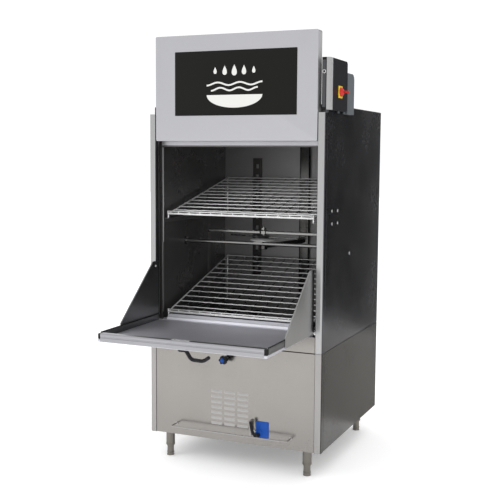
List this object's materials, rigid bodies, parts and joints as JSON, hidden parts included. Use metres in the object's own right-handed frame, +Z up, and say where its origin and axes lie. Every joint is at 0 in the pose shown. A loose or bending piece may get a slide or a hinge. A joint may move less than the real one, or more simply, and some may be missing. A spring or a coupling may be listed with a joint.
{
  "type": "commercial utensil washer",
  "caption": "Free-standing stainless front-loading utensil washer: lifting upper door, fold-down lower door shelf, two wire racks, spray arms and a louvred base.",
  "frame": {"origin": "middle of the footprint box, on the floor, with the lower door open", "axes": "+Z up, +Y to the back of the machine, +X to its right as its user sees it"},
  "size_m": [1.0264, 1.589, 2.188],
  "materials": {
    "brushed_steel": "brushed stainless steel",
    "chamber_steel": "polished stainless steel, dark from reflections",
    "shelf_steel": "satin stainless steel",
    "dark_steel": "satin stainless steel",
    "wire_steel": "bright electropolished wire",
    "black_plastic": "matt moulded plastic",
    "black_panel": "satin black",
    "grey_plastic": "matt moulded plastic",
    "yellow_plastic": "moulded plastic",
    "red_plastic": "moulded plastic",
    "blue_plastic": "moulded plastic",
    "green_plastic": "moulded plastic",
    "cast_iron": "painted casting"
  },
  "bodies": {
    "cabinet": {"base_frame": "dark_steel", "left_base_panel": "brushed_steel", "right_base_panel": "brushed_steel", "lower_front_panel": "brushed_steel", "panel_pull_rail": "wire_steel", "front_sill": "brushed_steel", "left_post": "brushed_steel", "right_post": "brushed_steel", "left_guide_strip": "black_plastic", "right_guide_strip": "black_plastic", "left_side_panel": "brushed_steel", "right_side_panel": "brushed_steel", "rear_panel": "brushed_steel", "roof_panel": "brushed_steel", "left_chamber_wall": "chamber_steel", "right_chamber_wall": "chamber_steel", "chamber_rear_wall": "chamber_steel", "chamber_hood": "chamber_steel", "wash_tank": "chamber_steel", "tank_strainer": "wire_steel", "tank_heater": "dark_steel", "left_rack_rails": "chamber_steel", "right_rack_rails": "chamber_steel", "left_rear_upright": "dark_steel", "right_rear_upright": "dark_steel", "riser_pipe": "wire_steel", "arm_carrier": "wire_steel", "left_hinge_pin": "dark_steel", "right_hinge_pin": "dark_steel", "drain_valve": "dark_steel", "drain_plate": "blue_plastic", "wash_pump": "cast_iron", "boiler": "dark_steel", "control_box": "black_panel", "control_corner": "brushed_steel", "switch_plate": "yellow_plastic", "cable_duct": "grey_plastic"},
    "upper_door": {"upper_door_shell": "brushed_steel", "upper_door_liner": "brushed_steel", "door_placard": "black_panel"},
    "counterweight": {"counterweight": "cast_iron"},
    "lower_door": {"lower_door_shell": "shelf_steel", "lower_door_liner": "shelf_steel", "left_gusset": "shelf_steel", "right_gusset": "shelf_steel"},
    "door_handle": {"door_handle": "black_plastic"},
    "upper_rack": {"upper_rack": "wire_steel"},
    "lower_rack": {"lower_rack": "wire_steel"},
    "upper_wash_arm": {"upper_wash_arm": "wire_steel"},
    "middle_wash_arm": {"middle_wash_arm": "wire_steel"},
    "middle_rinse_arm": {"middle_rinse_arm": "wire_steel"},
    "lower_wash_arm": {"lower_wash_arm": "wire_steel"},
    "drain_lever": {"drain_lever": "black_plastic"},
    "panel_knob": {"panel_knob": "black_plastic"},
    "main_switch": {"main_switch": "red_plastic"},
    "start_button": {"start_button": "green_plastic"},
    "foot_front_left": {"foot_front_left": "dark_steel"},
    "foot_front_right": {"foot_front_right": "dark_steel"},
    "foot_rear_left": {"foot_rear_left": "dark_steel"},
    "foot_rear_right": {"foot_rear_right": "dark_steel"}
  },
  "joints": [
    {"name": "upper_door_lift", "type": "slide", "parent": "cabinet", "child": "upper_door", "axis": [0, 0, 1], "range_m": [-0.34, 0]},
    {"name": "counterweight_lift", "type": "slide", "parent": "cabinet", "child": "counterweight", "axis": [0, 0, 1], "range_m": [0, 0.34]},
    {"name": "lower_door_fold", "type": "hinge", "parent": "cabinet", "child": "lower_door", "pos_m": [-0.03525, -0.2075, 0.735], "axis": [1, 0, 0], "range_deg": [-90, 0]},
    {"name": "door_handle_turn", "type": "hinge", "parent": "lower_door", "child": "door_handle", "pos_m": [-0.05525, -0.7155, 0.72], "axis": [0, 0, 1], "range_deg": [0, 90]},
    {"name": "upper_rack_slide", "type": "slide", "parent": "cabinet", "child": "upper_rack", "axis": [0, -1, 0], "range_m": [0, 0.4]},
    {"name": "lower_rack_slide", "type": "slide", "parent": "cabinet", "child": "lower_rack", "axis": [0, -1, 0], "range_m": [0, 0.4]},
    {"name": "upper_wash_arm_spin", "type": "hinge", "parent": "cabinet", "child": "upper_wash_arm", "pos_m": [-0.03525, 0.1845, 1.664], "axis": [0, 0, 1], "continuous": true},
    {"name": "middle_wash_arm_spin", "type": "hinge", "parent": "cabinet", "child": "middle_wash_arm", "pos_m": [-0.03525, 0.1845, 1.182], "axis": [0, 0, 1], "continuous": true},
    {"name": "middle_rinse_arm_spin", "type": "hinge", "parent": "cabinet", "child": "middle_rinse_arm", "pos_m": [-0.03525, 0.1845, 1.158], "axis": [0, 0, 1], "continuous": true},
    {"name": "lower_wash_arm_spin", "type": "hinge", "parent": "cabinet", "child": "lower_wash_arm", "pos_m": [-0.03525, 0.1845, 0.713], "axis": [0, 0, 1], "continuous": true},
    {"name": "drain_lever_turn", "type": "hinge", "parent": "cabinet", "child": "drain_lever", "pos_m": [0.11075, -0.2155, 0.194], "axis": [0, 1, 0], "range_deg": [0, 90]},
    {"name": "panel_knob_turn", "type": "hinge", "parent": "cabinet", "child": "panel_knob", "pos_m": [-0.06625, -0.2155, 0.568], "axis": [0, 1, 0], "range_deg": [0, 90]},
    {"name": "main_switch_turn", "type": "hinge", "parent": "cabinet", "child": "main_switch", "pos_m": [0.47475, -0.0655, 1.902], "axis": [1, 0, 0], "range_deg": [0, 90]},
    {"name": "start_button_press", "type": "slide", "parent": "cabinet", "child": "start_button", "axis": [0, 1, 0], "range_m": [0, 0.002], "stiffness_N_per_m": 400},
    {"name": "foot_front_left_screw", "type": "slide", "parent": "cabinet", "child": "foot_front_left", "axis": [0, 0, -1], "range_m": [0, 0.03]},
    {"name": "foot_front_right_screw", "type": "slide", "parent": "cabinet", "child": "foot_front_right", "axis": [0, 0, -1], "range_m": [0, 0.03]},
    {"name": "foot_rear_left_screw", "type": "slide", "parent": "cabinet", "child": "foot_rear_left", "axis": [0, 0, -1], "range_m": [0, 0.03]},
    {"name": "foot_rear_right_screw", "type": "slide", "parent": "cabinet", "child": "foot_rear_right", "axis": [0, 0, -1], "range_m": [0, 0.03]}
  ],
  "couplings": [
    {"joint": "counterweight_lift", "follows": "upper_door_lift", "ratio": -1}
  ]
}
